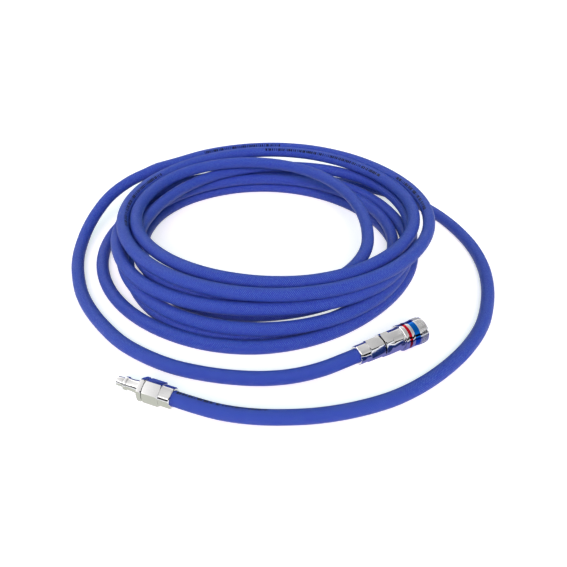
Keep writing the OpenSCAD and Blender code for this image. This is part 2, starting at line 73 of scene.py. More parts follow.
# Where a loop lies inside the even spiral: turn, turns on each side, and how far
PUSHES = ((0.2, 0.2, 3), (0.42, 0.17, 11), (1.08, 0.17, 14), (1.39, 0.19, 12), (1.63, 0.25, 8),
          (2.08, 0.17, 14), (2.26, 0.26, 14), (3.25, 0.35, -9), (4.29, 0.15, 9), (4.66, 0.16, -12),
          (4.98, 0.2, 14), (5.3, 0.18, 11), (6.26, 0.25, 16), (6.45, 0.15, 5), (6.65, 0.15, 5),
          (7.28, 0.3, 11), (7.65, 0.15, 5))
PLUG_AT = Vector((-85.006, -212.53, 10.9697))
PLUG_TURN = 157.5
SOCKET_AT = Vector((71.911, -161.515, 12.5))
SOCKET_TURN = 29.5
SOCKET_ROLL = -19
# Stretches of the hose that carry ticks, in metres from the plug
TICKED = ((0.016, 0.095), (7.58, 7.76), (7.92, 8.06), (8.53, 8.62), (8.81, 8.92))
END_OUT = 3                             # length of hose end that stands out of a nut
END_IN = 13.9                           # length of hose end inside a nut
BORE_DRAWN = 0.03                       # how deep the bore is drawn from each end, in metres
# How far the hose is twisted at the plug, in turns, and the length in which that dies away
TWIST = -0.065
TWIST_LENGTH = 0.3
# The free stretches from a fitting to the coil: x, y, and rise above a hose that lies on the floor
PLUG_ROUTE = (
    (-46, -225.5, 3.6), (-20, -228.5, 1.6), (8, -228.5, 0.5), (36, -226, 0), (68, -219, 0),
    (100, -207, 0), (128, -190, 0), (154, -168.5, 0), (178, -143, 0), (200, -111, 0), (215, -76, 0),
    (225, -40, 0), (229.5, -4, 0), (228, 33, 0), (220, 70, 0), (206, 106, 0), (186, 139, 0),
    (159, 166, 0), (125, 188, 0), (86, 204.5, 0))
SOCKET_ROUTE = (
    (42, -177, 6.1), (18, -183.3, 3.8), (-8, -185, 1.8), (-36, -182.5, 0.4), (-65, -177, 0),
    (-94, -168, 0), (-121, -154, 0), (-146, -136, 0), (-168, -113, 0), (-188, -87, 0),
    (-204, -60, 0), (-216, -31, 0.5), (-225, -1, 1.4), (-229.5, 28, 3.2), (-228, 60, 10.8),
    (-221, 86, 19.6), (-209, 110, 28.8), (-190, 132, 36.5), (-168, 150.5, 41))

# ---- Stations along the socket, in millimetres from where the hose goes in ----
GRIP_FROM = 66.2
GRIP_TO = 72.9
SLEEVE_R = 12.5
RIB_SHARE = 0.62                        # how much of the way round the ribs take
RIB_ROOT = 2                            # how deep a rib is rooted, in its own heights
RIB_ROUNDING = 0.9                      # its rounding, in its own heights

# ---- Copies of the frame's meshes ----
MERGE = 2e-6                            # vertices closer than this are one
FLAT_UNDER = math.radians(0.6)          # faces that meet at less than this are one
BROKEN_OVER = math.radians(24)          # edges that meet at more than this are broken
SMOOTH_UNDER = math.radians(38)         # edges that meet at less than this are shaded smooth
WIRE_SMOOTH_UNDER = math.radians(65)    # the same for a spring's wire

# ---- The hose's cover ----
UNDER = 0.55                            # height of a strand where it passes under another
FLAT_TOP = 0.8                          # height above which a strand's colour stays the same
TOP_BLEND = 0.3                         # how softly it gets there
CROWN = 4                               # how narrow the part of a strand is that shines through
SPECK_CONTRAST = 3.2                    # of the yarn's pale specks
SPECK_LEVEL = -0.9
COVER_ROUGHNESS = 0.5
COVER_UNEVEN = 0.3                      # how far handling changes that
LEAST_TICK = 0.25                       # shortest tick, as a part of its place
TICK_SPREAD = 0.7                       # how much longer the longest one is
TICK_COVERS = 0.97                      # how far a tick hides the cover
SPECKS_FINER = 14                       # how much finer specks are than the slow unevenness

# ---- What metal mirrors: how high light comes from, 0.5 level and 1 overhead, and its level ----
LOW_LIGHT = (0.48, 0.95)
DARK_BAND = (0.5, 0.65)
HIGH_LIGHT = ((0.67, 1.6), (0.76, 1.1), (0.84, 0.72), (0.95, 0.66))
SIDE_MIDDLE = 1.25                      # factor on that light where it comes along the middle
SIDE_SLOPE = -0.75                      # and what is added to it where it comes from the right

# ---- Stage, in metres ----
# The cards are painted reflections: glowing sheets on the floor that only mirrors see, which give
# the fittings' lower facets a mirrored shade, bluish on the socket and greenish grey on the plug
CARD_WIDTH = 0.05
CARD_OFF = 0.027                        # from a fitting's axis to the middle of its card
CARD_BACK = 0.02                        # how far a card begins behind its fitting
SOCKET_CARD_LENGTH = 0.13
PLUG_CARD_LENGTH = 0.09
FLOOR_SIZE = 4
FLOOR_DROP = 0.0003                     # how far the floor lies under the hose

ROOT = "hose_and_bodies"


# ======== Sizes and colours that a user changes ========
def colour_setting(name, description, default):
    """A colour that a user changes."""
    return FloatVectorProperty(name=name, description=description, default=default,
                               subtype='COLOR', size=3, min=0, max=1)


class HoseSettings(bpy.types.PropertyGroup):
    diameter: FloatProperty(name="Diameter", description="Outside diameter of the hose",
                            default=0.0135, min=0.004, max=0.03, precision=4, unit='LENGTH')
    bore: FloatProperty(name="Bore", description="Bore of the hose",
                        default=0.0095, min=0.002, max=0.025, precision=4, unit='LENGTH')
    coil_radius: FloatProperty(name="Coil radius",
                               description="Radius of the widest loop, to its middle",
                               default=0.185, min=0.1, max=0.4, unit='LENGTH')
    loop_gap: FloatProperty(name="Loop gap",
                            description="Gap between neighbouring loops of a layer",
                            default=0.0015, min=0, max=0.01, precision=4, unit='LENGTH')
    layer_gap: FloatProperty(name="Layer gap", description="Gap between one layer and the next",
                             default=0.0007, min=0, max=0.01, precision=4, unit='LENGTH')
    loose_loop: FloatProperty(name="Loose loop",
                              description="How far the loosest upper loop is drawn in",
                              default=0.048, min=0, max=0.06, unit='LENGTH')
    ring_step: FloatProperty(name="Ring step",
                             description="Distance between the rings of the mesh",
                             default=0.006, min=0.003, max=0.03, precision=4, unit='LENGTH')
    sides: IntProperty(name="Sides", description="Faces round the hose",
                       default=28, min=8, max=64)
    cover: colour_setting("Cover", "Colour of the cover", (0.045, 0.066, 0.41))
    yarn: colour_setting("Yarn", "Colour of the yarn that shows through the cover",
                         (0.09, 0.19, 0.5))
    shade: colour_setting("Shade", "Colour between the strands of yarn", (0.022, 0.055, 0.34))
    marking: colour_setting("Ticks", "Colour of the ticks along the hose", (0.002, 0.006, 0.02))
    strands: IntProperty(name="Strands", description="Strands of yarn in each direction",
                         default=16, min=4, max=48)
    lead: FloatProperty(name="Lead",
                        description="Length in which a strand goes once round the hose",
                        default=0.03, min=0.01, max=0.1, unit='LENGTH')


class FittingSettings(bpy.types.PropertyGroup):
    plating: colour_setting("Plating", "Colour of the nickel plating", (0.78, 0.77, 0.77))
    brass: colour_setting("Brass", "Colour of the bare brass", (0.78, 0.57, 0.25))
    steel: colour_setting("Steel", "Colour of the balls and the springs", (0.62, 0.62, 0.64))
    red: colour_setting("Red ring", "Colour of the red ring", (0.75, 0.01, 0.03))
    blue: colour_setting("Blue ring", "Colour of the blue ring", (0.004, 0.17, 0.7))
    nitrile: colour_setting("Seals", "Colour of the rubber seals", (0.02, 0.02, 0.022))
    rounding: FloatProperty(name="Rounding",
                            description="Width of the broken edges of the turned pieces",
                            default=0.00018, min=0, max=0.001, precision=5, unit='LENGTH')
    grip_ribs: IntProperty(name="Grip ribs", description="Fine ribs round the front of the sleeve",
                           default=72, min=12, max=160)
    grip_height: FloatProperty(name="Grip height", description="How far the ribs stand proud",
                               default=0.00022, min=0, max=0.001, precision=5, unit='LENGTH')


class StageSettings(bpy.types.PropertyGroup):
    lens: FloatProperty(name="Lens", description="Focal length of the camera",
                        default=38.1, min=10, max=200, subtype='DISTANCE_CAMERA')
    eye: FloatVectorProperty(name="Eye", description="Where the camera stands", size=3,
                             default=(0.0063, -0.5644, 0.3799), precision=4,
                             subtype='TRANSLATION')
    aim: FloatVectorProperty(name="Aim", description="What the camera looks at", size=3,
                             default=(0.0063, -0.0634, 0.0225), precision=4,
                             subtype='TRANSLATION')
    ambient: FloatProperty(name="Ambient", description="Level of the light from all round",
                           default=0.52, min=0, max=2)
    ambient_tint: colour_setting("Ambient tint", "Colour of the light from all round",
                                 (0.62, 1, 0.97))
    lamp: FloatProperty(name="Lamp", description="Strength of the soft lamp behind the camera",
                        default=2.8, min=0, max=20)
    lamp_tint: colour_setting("Lamp tint", "Colour of the soft lamp", (0.95, 0.67, 0.87))
    lamp_angle: FloatProperty(name="Lamp width", description="How wide the soft lamp is",
                              default=math.radians(30), min=0, max=math.pi, subtype='ANGLE')
    lamp_way: FloatVectorProperty(name="Lamp way", description="Which way the lamp shines",
                                  size=3, default=(0, 0.8, -0.6), subtype='DIRECTION')
    # Painted reflection: a glowing card that only mirrors see, tinting the socket's lower facets
    # bluish as if they mirrored the hose and shade
    socket_painted_reflection: colour_setting("Socket card", "Card that the socket mirrors", (0.21, 0.22, 0.6))
    # Painted reflection: a glowing card that only mirrors see, tinting the plug's lower facets
    # greenish grey as if they mirrored shaded floor
    plug_painted_reflection: colour_setting("Plug card", "Card that the plug mirrors", (0.74, 0.77, 0.68))
    dark_band: FloatProperty(name="Dark band",
                             description="Light in the dark band that metal mirrors",
                             default=0.02, min=0, max=1)
    floor: FloatProperty(name="Floor", description="How pale the floor is",
                         default=0.7, min=0, max=1)
    backdrop: FloatProperty(name="Backdrop",
                            description="Light that the eye sees in the bare floor",
                            default=0.6, min=0, max=1)


# ======== Nodes ========
def add(tree, kind, **settings):
    """A node of that kind. Each setting is a property, or with a leading s_ an input's value."""
    made = tree.nodes.new(kind)
    for name, value in settings.items():
        if name.startswith("s_"):
            made.inputs[name[2:]].default_value = value
        else:
            setattr(made, name, value)
    return made


def feed(tree, slot, value):
    """Gives an input a value, or links an output to it."""
    if isinstance(value, bpy.types.NodeSocket):
        tree.links.new(value, slot)
    else:
        slot.default_value = value


def math_node(tree, operation, a, b=None, c=None):
    """The result of a Math node. Each operand is a number or an output."""
    made = add(tree, "ShaderNodeMath", operation=operation)
    for slot, value in zip(made.inputs, (a, b, c)):
        if value is not None:
            feed(tree, slot, value)
    return made.outputs[0]


def mix_colour(tree, factor, a, b):
    """The result of a colour mix. Each operand is an output, a number or four numbers."""
    made = add(tree, "ShaderNodeMix", data_type='RGBA')
    for place, value in ((0, factor), (6, a), (7, b)):
        feed(tree, made.inputs[place], value)
    return made.outputs[2]


def rgba(colour):
    return (*colour, 1.0)


def new_group(name, inputs, outputs):
    """An empty shader group with those sockets: its tree, its inputs' and its outputs' node."""
    tree = bpy.data.node_groups.new(name, "ShaderNodeTree")
    for label, kind, value in inputs:
        socket = tree.interface.new_socket(name=label, in_out='INPUT',
                                           socket_type="NodeSocket" + kind)
        if value is not None:
            socket.default_value = value
    for label, kind in outputs:
        tree.interface.new_socket(name=label, in_out='OUTPUT', socket_type="NodeSocket" + kind)
    return tree, tree.nodes.new("NodeGroupInput"), tree.nodes.new("NodeGroupOutput")


def braid_group():
    """Two sets of strands wound round the hose opposite ways, one over the other in turn."""
    tree, given, out = new_group("Braided Yarn", (
        ("Along", "Float", 0.0), ("Around", "Float", 0.0), ("Strands", "Float", 16.0),
        ("Lead", "Float", 0.03)), (("Strand", "Float"), ("Height", "Float")))
    turns = math_node(tree, 'DIVIDE', given.outputs["Along"], given.outputs["Lead"])
    waves = []
    for sign in ('ADD', 'SUBTRACT'):
        phase = math_node(tree, 'MULTIPLY', math_node(tree, sign, given.outputs["Around"], turns),
                          given.outputs["Strands"])
        wave = math_node(tree, 'COSINE', math_node(tree, 'MULTIPLY', phase, math.tau))
        half = math_node(tree, 'COSINE', math_node(tree, 'MULTIPLY', phase, math.pi))
        waves.append((math_node(tree, 'MULTIPLY_ADD', wave, 0.5, 0.5), half))
    crossing = math_node(tree, 'MULTIPLY', waves[0][1], waves[1][1])
    over = math_node(tree, 'GREATER_THAN', crossing, 0)
    under = math_node(tree, 'SUBTRACT', 1, over)
    strands = []
    for (wave, _), lift in zip(waves, (over, under)):
        level = math_node(tree, 'MULTIPLY_ADD', lift, 1 - UNDER, UNDER)
        strands.append(math_node(tree, 'MULTIPLY', wave, level))
    height = math_node(tree, 'MAXIMUM', *strands)
    tree.links.new(height, out.inputs["Height"])
    tree.links.new(math_node(tree, 'SMOOTH_MIN', height, FLAT_TOP, TOP_BLEND),
                   out.inputs["Strand"])
    return tree


def marking_group():
    """A worn line of small plain ticks along a stretch of the hose, uneven in length."""
    tree, given, out = new_group("Broken Line", (
        ("Along", "Float", 0.0), ("Around", "Float", 0.0), ("Place", "Float", 0.14),
        ("Width", "Float", 0.085), ("Tick", "Float", 0.0027), ("From", "Float", 0.0),
        ("To", "Float", 1.0)), (("Mask", "Float"),))
    off = math_node(tree, 'SUBTRACT', given.outputs["Around"], given.outputs["Place"])
    row = math_node(tree, 'LESS_THAN', math_node(tree, 'ABSOLUTE', off),
                    math_node(tree, 'MULTIPLY', given.outputs["Width"], 0.5))
    count = math_node(tree, 'DIVIDE', given.outputs["Along"], given.outputs["Tick"])
    worn = add(tree, "ShaderNodeTexWhiteNoise", noise_dimensions='1D')
    tree.links.new(math_node(tree, 'FLOOR', count), worn.inputs["W"])
    part = math_node(tree, 'MULTIPLY_ADD', worn.outputs["Value"], TICK_SPREAD, LEAST_TICK)
    tick = math_node(tree, 'LESS_THAN', math_node(tree, 'FRACT', count), part)
    begun = math_node(tree, 'GREATER_THAN', given.outputs["Along"], given.outputs["From"])
    left = math_node(tree, 'LESS_THAN', given.outputs["Along"], given.outputs["To"])
    tree.links.new(math_node(tree, 'MULTIPLY', math_node(tree, 'MULTIPLY', row, tick),
                             math_node(tree, 'MULTIPLY', begun, left)), out.inputs["Mask"])
    return tree


def handling_group():
    """Uneven gloss and a little dust from use: a slow variation with finer specks on it."""
    tree, given, out = new_group("Handling", (
        ("Vector", "Vector", None), ("Scale", "Float", 60.0), ("Amount", "Float", 0.1)),
        (("Value", "Float"), ("Specks", "Float")))
    slow = add(tree, "ShaderNodeTexNoise", s_Detail=3.0, s_Roughness=0.55)
    fine = add(tree, "ShaderNodeTexNoise", s_Detail=2.0, s_Roughness=0.6)
    for noise in (slow, fine):
        tree.links.new(given.outputs["Vector"], noise.inputs["Vector"])
    tree.links.new(given.outputs["Scale"], slow.inputs["Scale"])
    tree.links.new(math_node(tree, 'MULTIPLY', given.outputs["Scale"], SPECKS_FINER),
                   fine.inputs["Scale"])
    centred = math_node(tree, 'SUBTRACT', slow.outputs["Fac"], 0.5)
    tree.links.new(math_node(tree, 'MULTIPLY', centred, given.outputs["Amount"]),
                   out.inputs["Value"])
    tree.links.new(fine.outputs["Fac"], out.inputs["Specks"])
    return tree


def turning_group():
    """Fine rings that a turning tool leaves round an axis, uneven in depth."""
    tree, given, out = new_group("Turning Marks", (
        ("Vector", "Vector", None), ("Pitch", "Float", 0.0002)), (("Height", "Float"),))
    parts = tree.nodes.new("ShaderNodeSeparateXYZ")
    tree.links.new(given.outputs["Vector"], parts.inputs[0])
    phase = math_node(tree, 'DIVIDE', parts.outputs["X"], given.outputs["Pitch"])
    wave = math_node(tree, 'SINE', math_node(tree, 'MULTIPLY', phase, math.tau))
    noise = add(tree, "ShaderNodeTexNoise", noise_dimensions='1D', s_Scale=900.0, s_Detail=2.0)
    tree.links.new(parts.outputs["X"], noise.inputs["W"])
    tree.links.new(math_node(tree, 'MULTIPLY', wave, noise.outputs["Fac"]), out.inputs["Height"])
    return tree


GROUP_MAKERS = {"Braided Yarn": braid_group, "Broken Line": marking_group,
                "Handling": handling_group, "Turning Marks": turning_group}
_groups = {}


def group_node(tree, name, **inputs):
    """A node that places a shared group, which is made the first time it is asked for."""
    if name not in _groups:
        _groups[name] = GROUP_MAKERS[name]()
    made = add(tree, "ShaderNodeGroup", node_tree=_groups[name])
    for label, value in inputs.items():
        feed(tree, made.inputs[label], value)
    return made


def new_material(name, values):
    """A material, its tree and its Principled shader, whose inputs have those values."""
    made = bpy.data.materials.new(name)
    made.use_nodes = True
    tree = made.node_tree
    tree.nodes.clear()
    shader = tree.nodes.new("ShaderNodeBsdfPrincipled")
    out = tree.nodes.new("ShaderNodeOutputMaterial")
    tree.links.new(shader.outputs[0], out.inputs["Surface"])
    for label, value in values.items():
        shader.inputs[label].default_value = value
    return made, tree, shader


def roughen(tree, shader, height, strength, distance):
    """Gives a shader the bumps of that height."""
    made = add(tree, "ShaderNodeBump", s_Strength=strength, s_Distance=distance)
    tree.links.new(height, made.inputs["Height"])
    tree.links.new(made.outputs[0], shader.inputs["Normal"])


def hose_material(settings):
    """Blue cover with worn plain ticks, and the yarn of the reinforcement showing through."""
    made, tree, shader = new_material("hose_cover", {
        "IOR": 1.4, "Specular IOR Level": 0.3, "Subsurface Weight": 0.8,
        "Subsurface Radius": (0.5, 0.9, 1), "Subsurface Scale": 0.004})
    place = add(tree, "ShaderNodeUVMap", uv_map="Along")
    parts = tree.nodes.new("ShaderNodeSeparateXYZ")
    tree.links.new(place.outputs[0], parts.inputs[0])
    where = {"Along": parts.outputs["X"], "Around": parts.outputs["Y"]}
    braid = group_node(tree, "Braided Yarn", Strands=settings.strands, Lead=settings.lead, **where)
    ticks = 0
    for start, stop in TICKED:
        line = group_node(tree, "Broken Line", From=start, To=stop, **where)
        ticks = math_node(tree, 'MAXIMUM', line.outputs["Mask"], ticks)
    spot = add(tree, "ShaderNodeTexCoord")
    handled = group_node(tree, "Handling", Vector=spot.outputs["Object"], Scale=45, Amount=0.5)
    ground = mix_colour(tree, braid.outputs["Strand"], rgba(settings.shade), rgba(settings.cover))
    crown = math_node(tree, 'POWER', braid.outputs["Height"], CROWN)
    specks = math_node(tree, 'MULTIPLY_ADD', handled.outputs["Specks"], SPECK_CONTRAST,
                       SPECK_LEVEL)
    shining = math_node(tree, 'MULTIPLY', crown, specks)
    shining.node.use_clamp = True
    yarn = mix_colour(tree, shining, ground, rgba(settings.yarn))
    uneven = mix_colour(tree, math_node(tree, 'ABSOLUTE', handled.outputs["Value"]), yarn,
                        rgba(settings.shade))
    marked = mix_colour(tree, math_node(tree, 'MULTIPLY', ticks, TICK_COVERS), uneven,
                        rgba(settings.marking))
    tree.links.new(marked, shader.inputs["Base Color"])
    tree.links.new(math_node(tree, 'MULTIPLY_ADD', handled.outputs["Value"], COVER_UNEVEN,
                             COVER_ROUGHNESS), shader.inputs["Roughness"])
    roughen(tree, shader, braid.outputs["Height"], strength=0.5, distance=0.0002)
    return made


def handled_material(name, turn, colour, speck_share, roughness, scale, uneven, metallic):
    """A fitting's material with uneven gloss, whose colour is a share of itself in specks.

    Also its tree, its shader, its coordinates with X along the fitting, and its Handling node.
    """
    made, tree, shader = new_material(name, {"Metallic": metallic})
    spot = add(tree, "ShaderNodeTexCoord")
    along = add(tree, "ShaderNodeMapping", vector_type='POINT',
                s_Rotation=(0, 0, -math.radians(turn)))
    tree.links.new(spot.outputs["Object"], along.inputs["Vector"])
    place = along.outputs[0]
    handled = group_node(tree, "Handling", Vector=place, Scale=scale, Amount=uneven)
    speck = tuple(speck_share * c for c in colour)
    tree.links.new(mix_colour(tree, handled.outputs["Specks"], rgba(colour), rgba(speck)),
                   shader.inputs["Base Color"])
    tree.links.new(math_node(tree, 'ADD', handled.outputs["Value"], roughness),
                   shader.inputs["Roughness"])
    return made, tree, shader, place, handled


def metal_material(name, colour, turn, roughness):
    """Turned metal: fine tool marks round the fitting's axis and uneven gloss."""
    made, tree, shader, place, _ = handled_material(
        name, turn, colour, speck_share=0.86, roughness=roughness, scale=160, uneven=0.12,
        metallic=1)
    marks = group_node(tree, "Turning Marks", Vector=place, Pitch=0.00022)
    roughen(tree, shader, marks.outputs["Height"], strength=0.12, distance=0.00002)
    return made


def anodised_material(name, colour, turn):
    """Glossy anodised aluminium with a slightly uneven dye."""
    return handled_material(name, turn, colour, speck_share=0.6, roughness=0.11, scale=220,
                            uneven=0.08, metallic=1)[0]


def seal_material(colour):
    """Dull black rubber with a fine grain."""
    made, tree, shader, _, handled = handled_material(
        "seal_rubber", 0, colour, speck_share=2.2, roughness=0.55, scale=300, uneven=0.2,
        metallic=0)
    roughen(tree, shader, handled.outputs["Specks"], strength=0.2, distance=0.00005)
    return made


# ======== Shapes ========
def link(name, mesh):
    made = bpy.data.objects.new(name, mesh)
    bpy.context.scene.collection.objects.link(made)
    return made


def mesh_of(name, bm):
    """A mesh made of bm, which is freed."""
    mesh = bpy.data.meshes.new(name)
    bm.to_mesh(mesh)
    bm.free()
    return mesh


def heading(turn):
    return Vector((math.cos(math.radians(turn)), math.sin(math.radians(turn)), 0))


def ease(x):
    x = min(max(x, 0.0), 1.0)
    return x * x * (3 - 2 * x)


def bump(x):
    return (1 + math.cos(math.pi * min(abs(x), 1))) / 2


def between(values, at):
    """The value at a fractional place in a list."""
    low = min(int(at), len(values) - 2)
    return values[low] + (values[low + 1] - values[low]) * (at - low)


def coil_point(settings, turn):
    """The hose's middle at that turn of the coil, in millimetres."""
    size = settings.diameter / MM
    layer = sum(ease((turn - m + CLIMB) / (2 * CLIMB)) for m in CLIMBS)
    first, second, third = REVERSALS
    if turn < first:
        loops_in = turn
    elif turn < second:
        loops_in = 2 * first - turn
    elif turn < third:
        loops_in = 2 * (first - second) + turn
    else:
        loops_in = 2 * (first - second + third) - turn
    drawn_in = settings.loose_loop / MM * bump((turn - LOOSEST[0]) / LOOSEST[1])
    drawn_in += sum(push * bump((turn - at) / half) for at, half, push in PUSHES)
    r = settings.coil_radius / MM - (size + settings.loop_gap / MM) * loops_in - drawn_in
    angle = math.radians(COIL_START + 360 * turn)
    x = between([c[0] for c in LAYER_CENTRES], layer) + r * math.cos(angle)
    y = between([c[1] for c in LAYER_CENTRES], layer) + r * math.sin(angle)
    return Vector((x, y, REST * size + (size + settings.layer_gap / MM) * layer))


def tail_points(settings, at, turn, route):
    """The points from inside a fitting to the coil, in millimetres."""
    size = settings.diameter / MM
    out = -heading(turn)
    inside = [at - out * END_IN, at - out * END_IN / 2, at]
    return inside + [at + out * END_OUT, at + out * (END_OUT + size)] + [
        Vector((x, y, REST * size + rise)) for x, y, rise in route]


def hose_points(settings):
    """The whole hose's points from the plug to the socket, in millimetres."""
    size = settings.diameter / MM
    coil = [coil_point(settings, FIRST_TURN + i / POINTS_PER_LOOP) for i in range(COIL_POINTS)]
    first = (coil[1] - coil[0]).normalized() * size
    last = (coil[-1] - coil[-2]).normalized() * size
    lead_in = [coil[0] - 2 * first, coil[0] - first]
    lead_out = [coil[-1] + last, coil[-1] + 2 * last]
    return (tail_points(settings, PLUG_AT, PLUG_TURN, PLUG_ROUTE) + lead_in + coil + lead_out
            + tail_points(settings, SOCKET_AT, SOCKET_TURN, SOCKET_ROUTE)[::-1])


def smooth_path(points, step):
    """Points a step apart on the smooth curve through the given points, and its length."""
    ends = [2 * points[0] - points[1]] + points + [2 * points[-1] - points[-2]]
    fine = []
    for a, b, c, d in zip(ends, ends[1:], ends[2:], ends[3:]):
        knots = [0.0]
        for p, q in ((a, b), (b, c), (c, d)):
            knots.append(knots[-1] + math.sqrt((q - p).length))
        t0, t1, t2, t3 = knots
        parts = max(int((c - b).length / (step / 4)), 2)
        for i in range(parts):
            t = t1 + (t2 - t1) * i / parts
            ab = a.lerp(b, (t - t0) / (t1 - t0))
            bc = b.lerp(c, (t - t1) / (t2 - t1))
            cd = c.lerp(d, (t - t2) / (t3 - t2))
            abc = ab.lerp(bc, (t - t0) / (t2 - t0))
            bcd = bc.lerp(cd, (t - t1) / (t3 - t1))
            fine.append(abc.lerp(bcd, (t - t1) / (t2 - t1)))
    fine.append(points[-1])
    length = sum((q - p).length for p, q in zip(fine, fine[1:]))
    count = round(length / step)
    even, gone, want = [fine[0]], 0.0, length / count
    for p, q in zip(fine, fine[1:]):
        part = (q - p).length
        while gone + part >= want and len(even) < count:
            even.append(p.lerp(q, (want - gone) / part))
            want += length / count
        gone += part
    even.append(fine[-1])
    return even, length


def ring_frame(path, i):
    """The matrix that lays a circle square to the path at one of its points, its X level."""
    along = (path[min(i + 1, len(path) - 1)] - path[max(i - 1, 0)]).normalized()
    across = UP.cross(along).normalized()
    up = along.cross(across)
    turned = Matrix((across, up, along)).transposed().to_4x4()
    return Matrix.Translation(path[i]) @ turned


def hose_mesh(settings, path):
    """A round hose swept along the path, flat where it lies on the floor and open at both ends."""
    sides, outer, inner = settings.sides, settings.diameter / 2, settings.bore / 2
    bm = bmesh.new()
    place = bm.loops.layers.uv.new("Along")
    ring_of = bm.verts.layers.int.new("ring")
    side_of = bm.verts.layers.int.new("side")
    circle = bmesh.ops.create_circle(bm, segments=sides, radius=1)["verts"]
    circle.sort(key=lambda v: math.atan2(v.co.y, v.co.x) % math.tau)
    unit_circle = [v.co.copy() for v in circle]
    for k, v in enumerate(circle):
        v[side_of] = k

    def put(verts, ring, radius):
        frame_here = ring_frame(path, ring)
        for v in verts:
            v[ring_of] = ring
            v.co = frame_here @ (unit_circle[v[side_of]] * radius)

    def grow(edges, ring, radius):
        made = bmesh.ops.extrude_edge_only(bm, edges=edges)["geom"]
        verts = [g for g in made if isinstance(g, bmesh.types.BMVert)]
        new = set(verts)
        put(verts, ring, radius)
        return [g for g in made if isinstance(g, bmesh.types.BMEdge) and set(g.verts) <= new]

    put(circle, 0, outer)
    start = list(bm.edges)
    edges = start
    for ring in range(1, len(path)):
        edges = grow(edges, ring, outer)
    bore_rings = round(BORE_DRAWN / settings.ring_step)
    for mouth, ring, way in ((edges, len(path) - 1, -1), (start, 0, 1)):
        mouth = grow(mouth, ring, inner)
        for deep in range(1, bore_rings + 1):
            mouth = grow(mouth, ring + way * deep, inner)
        bmesh.ops.contextual_create(bm, geom=mouth)
    for v in bm.verts:
        v.co.z = max(v.co.z, 0)
    for face in bm.faces:
        wraps = {loop.vert[side_of] for loop in face.loops} == {0, sides - 1}
        face.smooth = len(face.verts) == 4
        for loop in face.loops:
            side = loop.vert[side_of]
            if wraps and side == 0:
                side = sides
            ring = loop.vert[ring_of]
            along = ring * settings.ring_step
            twist = TWIST * math.exp(-along / TWIST_LENGTH)
            loop[place].uv = (along, side / sides + twist)
    bmesh.ops.recalc_face_normals(bm, faces=bm.faces)
    return mesh_of("hose", bm)


def merged(node):
    """A node's mesh with its doubled vertices merged."""
    bm = bmesh.new()
    bm.from_mesh(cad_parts[node].data)
    bmesh.ops.remove_doubles(bm, verts=bm.verts, dist=MERGE)
    return bm


def stand_in(node, name, bm, smooth_under):
    """An object made of bm that stands for a node, with edges under that angle smooth."""
    for face in bm.faces:
        face.smooth = True
    made = link(name, mesh_of(name, bm))
    made.data.set_sharp_from_angle(angle=smooth_under)
    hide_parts(node)
    return made


def rounded_copy(node, name, width):
    """A copy of a node's mesh with its sharp edges broken, which stands for the node."""
    bm = merged(node)
    bmesh.ops.dissolve_limit(bm, angle_limit=FLAT_UNDER, verts=bm.verts, edges=bm.edges)
    sharp = [e for e in bm.edges if len(e.link_faces) == 2 and e.calc_face_angle(0) > BROKEN_OVER]
    bmesh.ops.bevel(bm, geom=sharp, offset=width, offset_type='OFFSET', affect='EDGES',
                    segments=2, profile=0.5, material=-1, clamp_overlap=True)
    return stand_in(node, name, bm, SMOOTH_UNDER)


def spring_copy(node, name, material):
    """A copy of a spring that stands for it, with its own mesh and the wire's material."""
    bm = merged(node)
    made = stand_in(node, name, bm, WIRE_SMOOTH_UNDER)
    dress(made, ROOT, material)
    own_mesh(made)


def dress(piece, body, material):
    """Gives a piece its body and its material."""
    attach(piece, body)
    piece.data.materials.clear()
    piece.data.materials.append(material)


def paint_node(node, material):
    """Gives a node of the frame a material in each of its slots."""
    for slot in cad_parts[node].material_slots:
        slot.material = material


# ======== Operators ========
class AIRHOSE_OT_hose(bpy.types.Operator):
    """Makes the hose from the plug through the coil to the socket"""
    bl_idname = "airhose.make_hose"
    bl_label = "Hose"

    def execute(self, context):
        settings = context.scene.airhose_hose
        points = [p * MM for p in hose_points(settings)]
        path, length = smooth_path(points, settings.ring_step)
        piece = link("hose", hose_mesh(settings, path))
        dress(piece, ROOT, hose_material(settings))
        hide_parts("hose_coil", "hose_tail_plug", "hose_tail_socket", "hose_end_plug",
                    "hose_end_socket")
        return {'FINISHED'}


class AIRHOSE_OT_plug(bpy.types.Operator):
    """Makes the plug and its clamp nut"""
    bl_idname = "airhose.make_plug"
    bl_label = "Plug"

    def execute(self, context):
        settings = context.scene.airhose_fittings
        plated = metal_material("plug_plating", settings.plating, PLUG_TURN, roughness=0.09)
        brass = metal_material("plug_brass", settings.brass, PLUG_TURN, roughness=0.3)
        body = rounded_copy("plug_body", "plug_body_rounded", settings.rounding)
        nut = rounded_copy("plug_nut", "plug_nut_rounded", settings.rounding)
        for piece in (body, nut):
            dress(piece, ROOT, plated)
        paint_node("plug_clamp_ring", brass)
        return {'FINISHED'}


